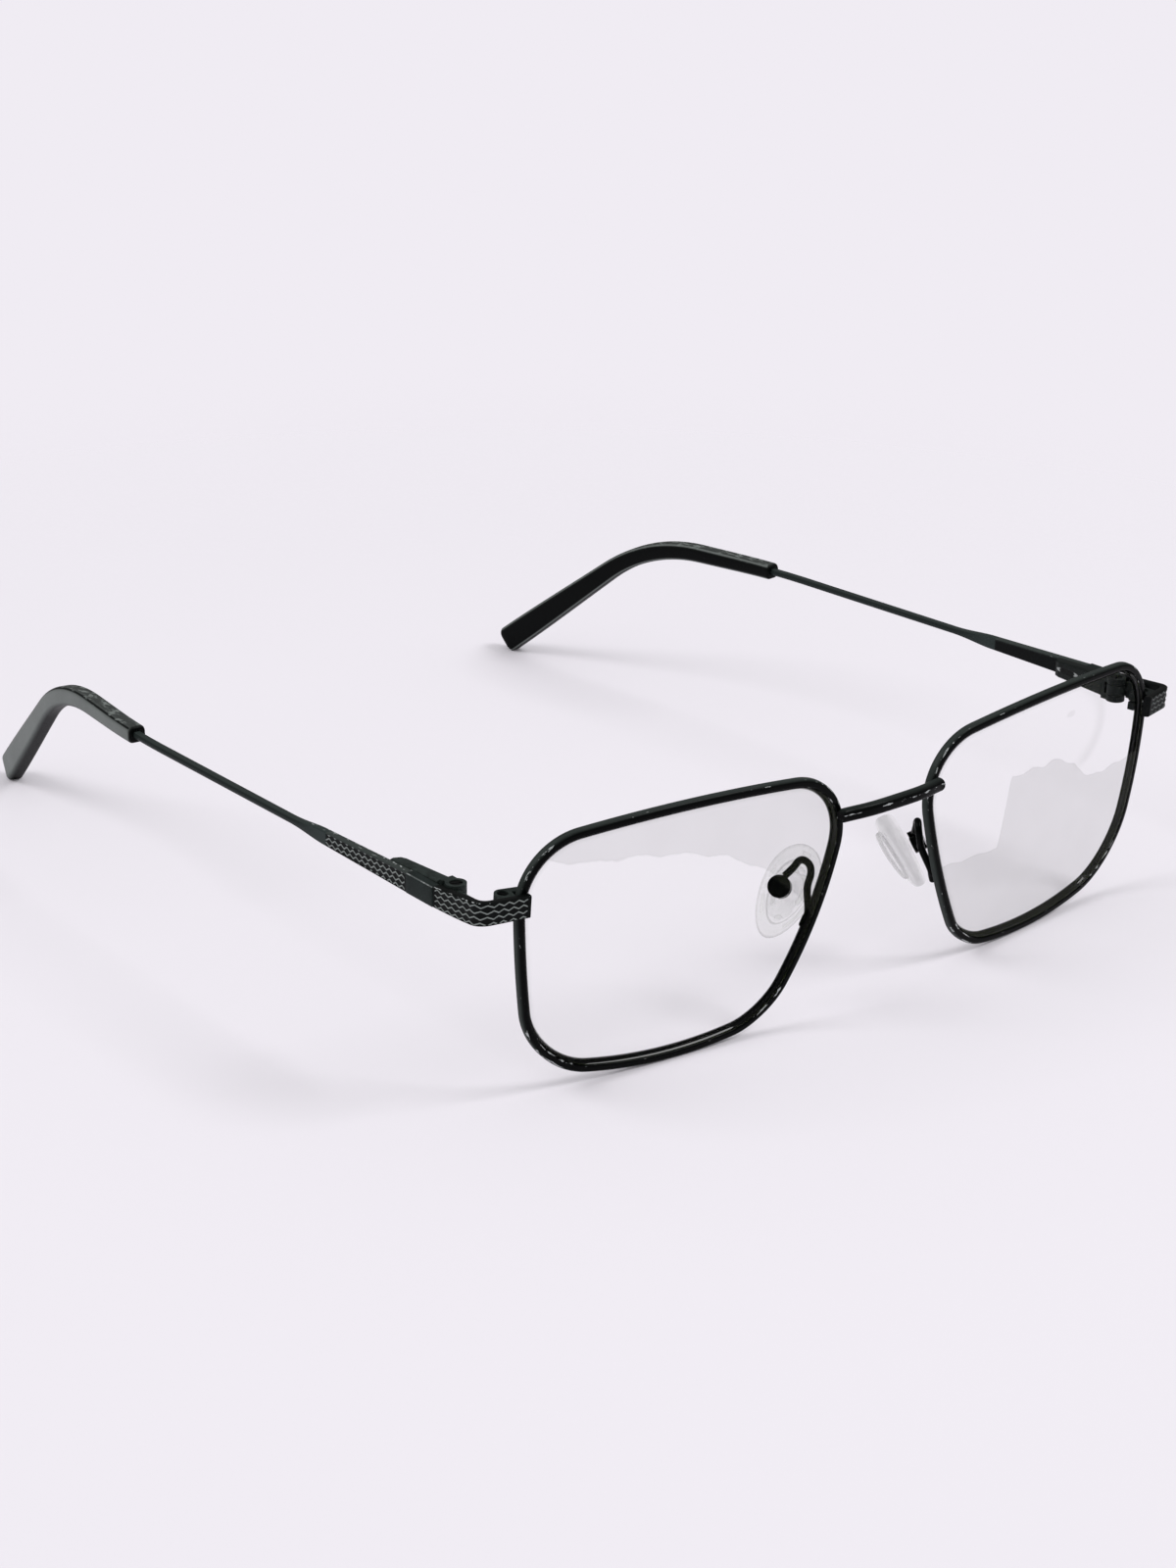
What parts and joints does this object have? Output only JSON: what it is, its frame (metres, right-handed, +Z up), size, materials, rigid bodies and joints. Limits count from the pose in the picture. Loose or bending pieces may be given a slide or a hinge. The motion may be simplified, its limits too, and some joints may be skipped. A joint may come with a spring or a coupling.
{
  "type": "eyeglass frame",
  "caption": "Full-rim metal eyeglass frame with clear lenses, nose pads on wire arms, wrap-around end pieces, spring hinges and bent acetate temple tips.",
  "frame": {"origin": "middle of the space that the open frame stands on, on the table", "axes": "+X to the wearer's left, -Y out of the front, +Z up; the temples run to +Y"},
  "size_m": [0.1396, 0.1602, 0.0404],
  "materials": {
    "rim_metal": "gloss black",
    "strip_metal": "matte black with a silver-grey wavy relief",
    "block_metal": "matte dark grey",
    "joint_metal": "satin black",
    "screw_steel": "satin",
    "spring_steel": "satin",
    "lens": "clear, polished",
    "silicone": "clear, soft",
    "pad_core": "clear",
    "acetate": "satin black"
  },
  "bodies": {
    "front": {"bridge": "rim_metal", "rim_right": "rim_metal", "lens_right": "lens", "endpiece_right": "strip_metal", "rim_lock_upper_right": "joint_metal", "rim_lock_lower_right": "joint_metal", "rim_screw_right": "screw_steel", "pad_arm_right": "rim_metal", "pad_box_right": "rim_metal", "pad_screw_right": "screw_steel", "hinge_front_right": "joint_metal", "rim_left": "rim_metal", "lens_left": "lens", "endpiece_left": "strip_metal", "rim_lock_upper_left": "joint_metal", "rim_lock_lower_left": "joint_metal", "rim_screw_left": "screw_steel", "pad_arm_left": "rim_metal", "pad_box_left": "rim_metal", "pad_screw_left": "screw_steel", "hinge_front_left": "joint_metal"},
    "screw_right": {"hinge_screw_right": "screw_steel"},
    "slider_right": {"hinge_slider_right": "joint_metal", "hinge_spring_right": "spring_steel"},
    "temple_right": {"temple_right": "strip_metal", "hinge_block_right": "block_metal", "spring_case_right": "joint_metal", "temple_tip_right": "acetate"},
    "pad_right": {"nose_pad_right": "silicone", "pad_insert_right": "pad_core"},
    "screw_left": {"hinge_screw_left": "screw_steel"},
    "slider_left": {"hinge_slider_left": "joint_metal", "hinge_spring_left": "spring_steel"},
    "temple_left": {"temple_left": "strip_metal", "hinge_block_left": "block_metal", "spring_case_left": "joint_metal", "temple_tip_left": "acetate"},
    "pad_left": {"nose_pad_left": "silicone", "pad_insert_left": "pad_core"}
  },
  "joints": [
    {"name": "temple_right_flex", "type": "hinge", "parent": "front", "child": "screw_right", "pos_m": [-0.06681, -0.06211, 0.0296], "axis": [0, 0, -1], "range_deg": [-10, 0], "stiffness_Nm_per_rad": 0.2, "springref_deg": 10},
    {"name": "temple_right_fold", "type": "hinge", "parent": "screw_right", "child": "slider_right", "pos_m": [-0.06681, -0.06211, 0.0296], "axis": [0, 0, -1], "range_deg": [0, 80]},
    {"name": "temple_right_slide", "type": "slide", "parent": "slider_right", "child": "temple_right", "axis": [0.0279, 0.9996, 0], "range_m": [0, 0.0005]},
    {"name": "pad_right_rock", "type": "hinge", "parent": "front", "child": "pad_right", "pos_m": [-0.01396, -0.07022, 0.01941], "axis": [-0.4588, 0.832, 0.312], "range_deg": [-12, 12]},
    {"name": "temple_left_flex", "type": "hinge", "parent": "front", "child": "screw_left", "pos_m": [0.06681, -0.06211, 0.0296], "axis": [0, 0, 1], "range_deg": [-10, 0], "stiffness_Nm_per_rad": 0.2, "springref_deg": 10},
    {"name": "temple_left_fold", "type": "hinge", "parent": "screw_left", "child": "slider_left", "pos_m": [0.06681, -0.06211, 0.0296], "axis": [0, 0, 1], "range_deg": [0, 87]},
    {"name": "temple_left_slide", "type": "slide", "parent": "slider_left", "child": "temple_left", "axis": [-0.0279, 0.9996, 0], "range_m": [0, 0.0005]},
    {"name": "pad_left_rock", "type": "hinge", "parent": "front", "child": "pad_left", "pos_m": [0.01396, -0.07022, 0.01941], "axis": [0.4588, 0.832, 0.312], "range_deg": [-12, 12]}
  ],
  "couplings": [
    {"joint": "temple_right_slide", "follows": "temple_right_flex", "m_per_rad": -0.00283},
    {"joint": "temple_left_slide", "follows": "temple_left_flex", "m_per_rad": -0.00283}
  ]
}
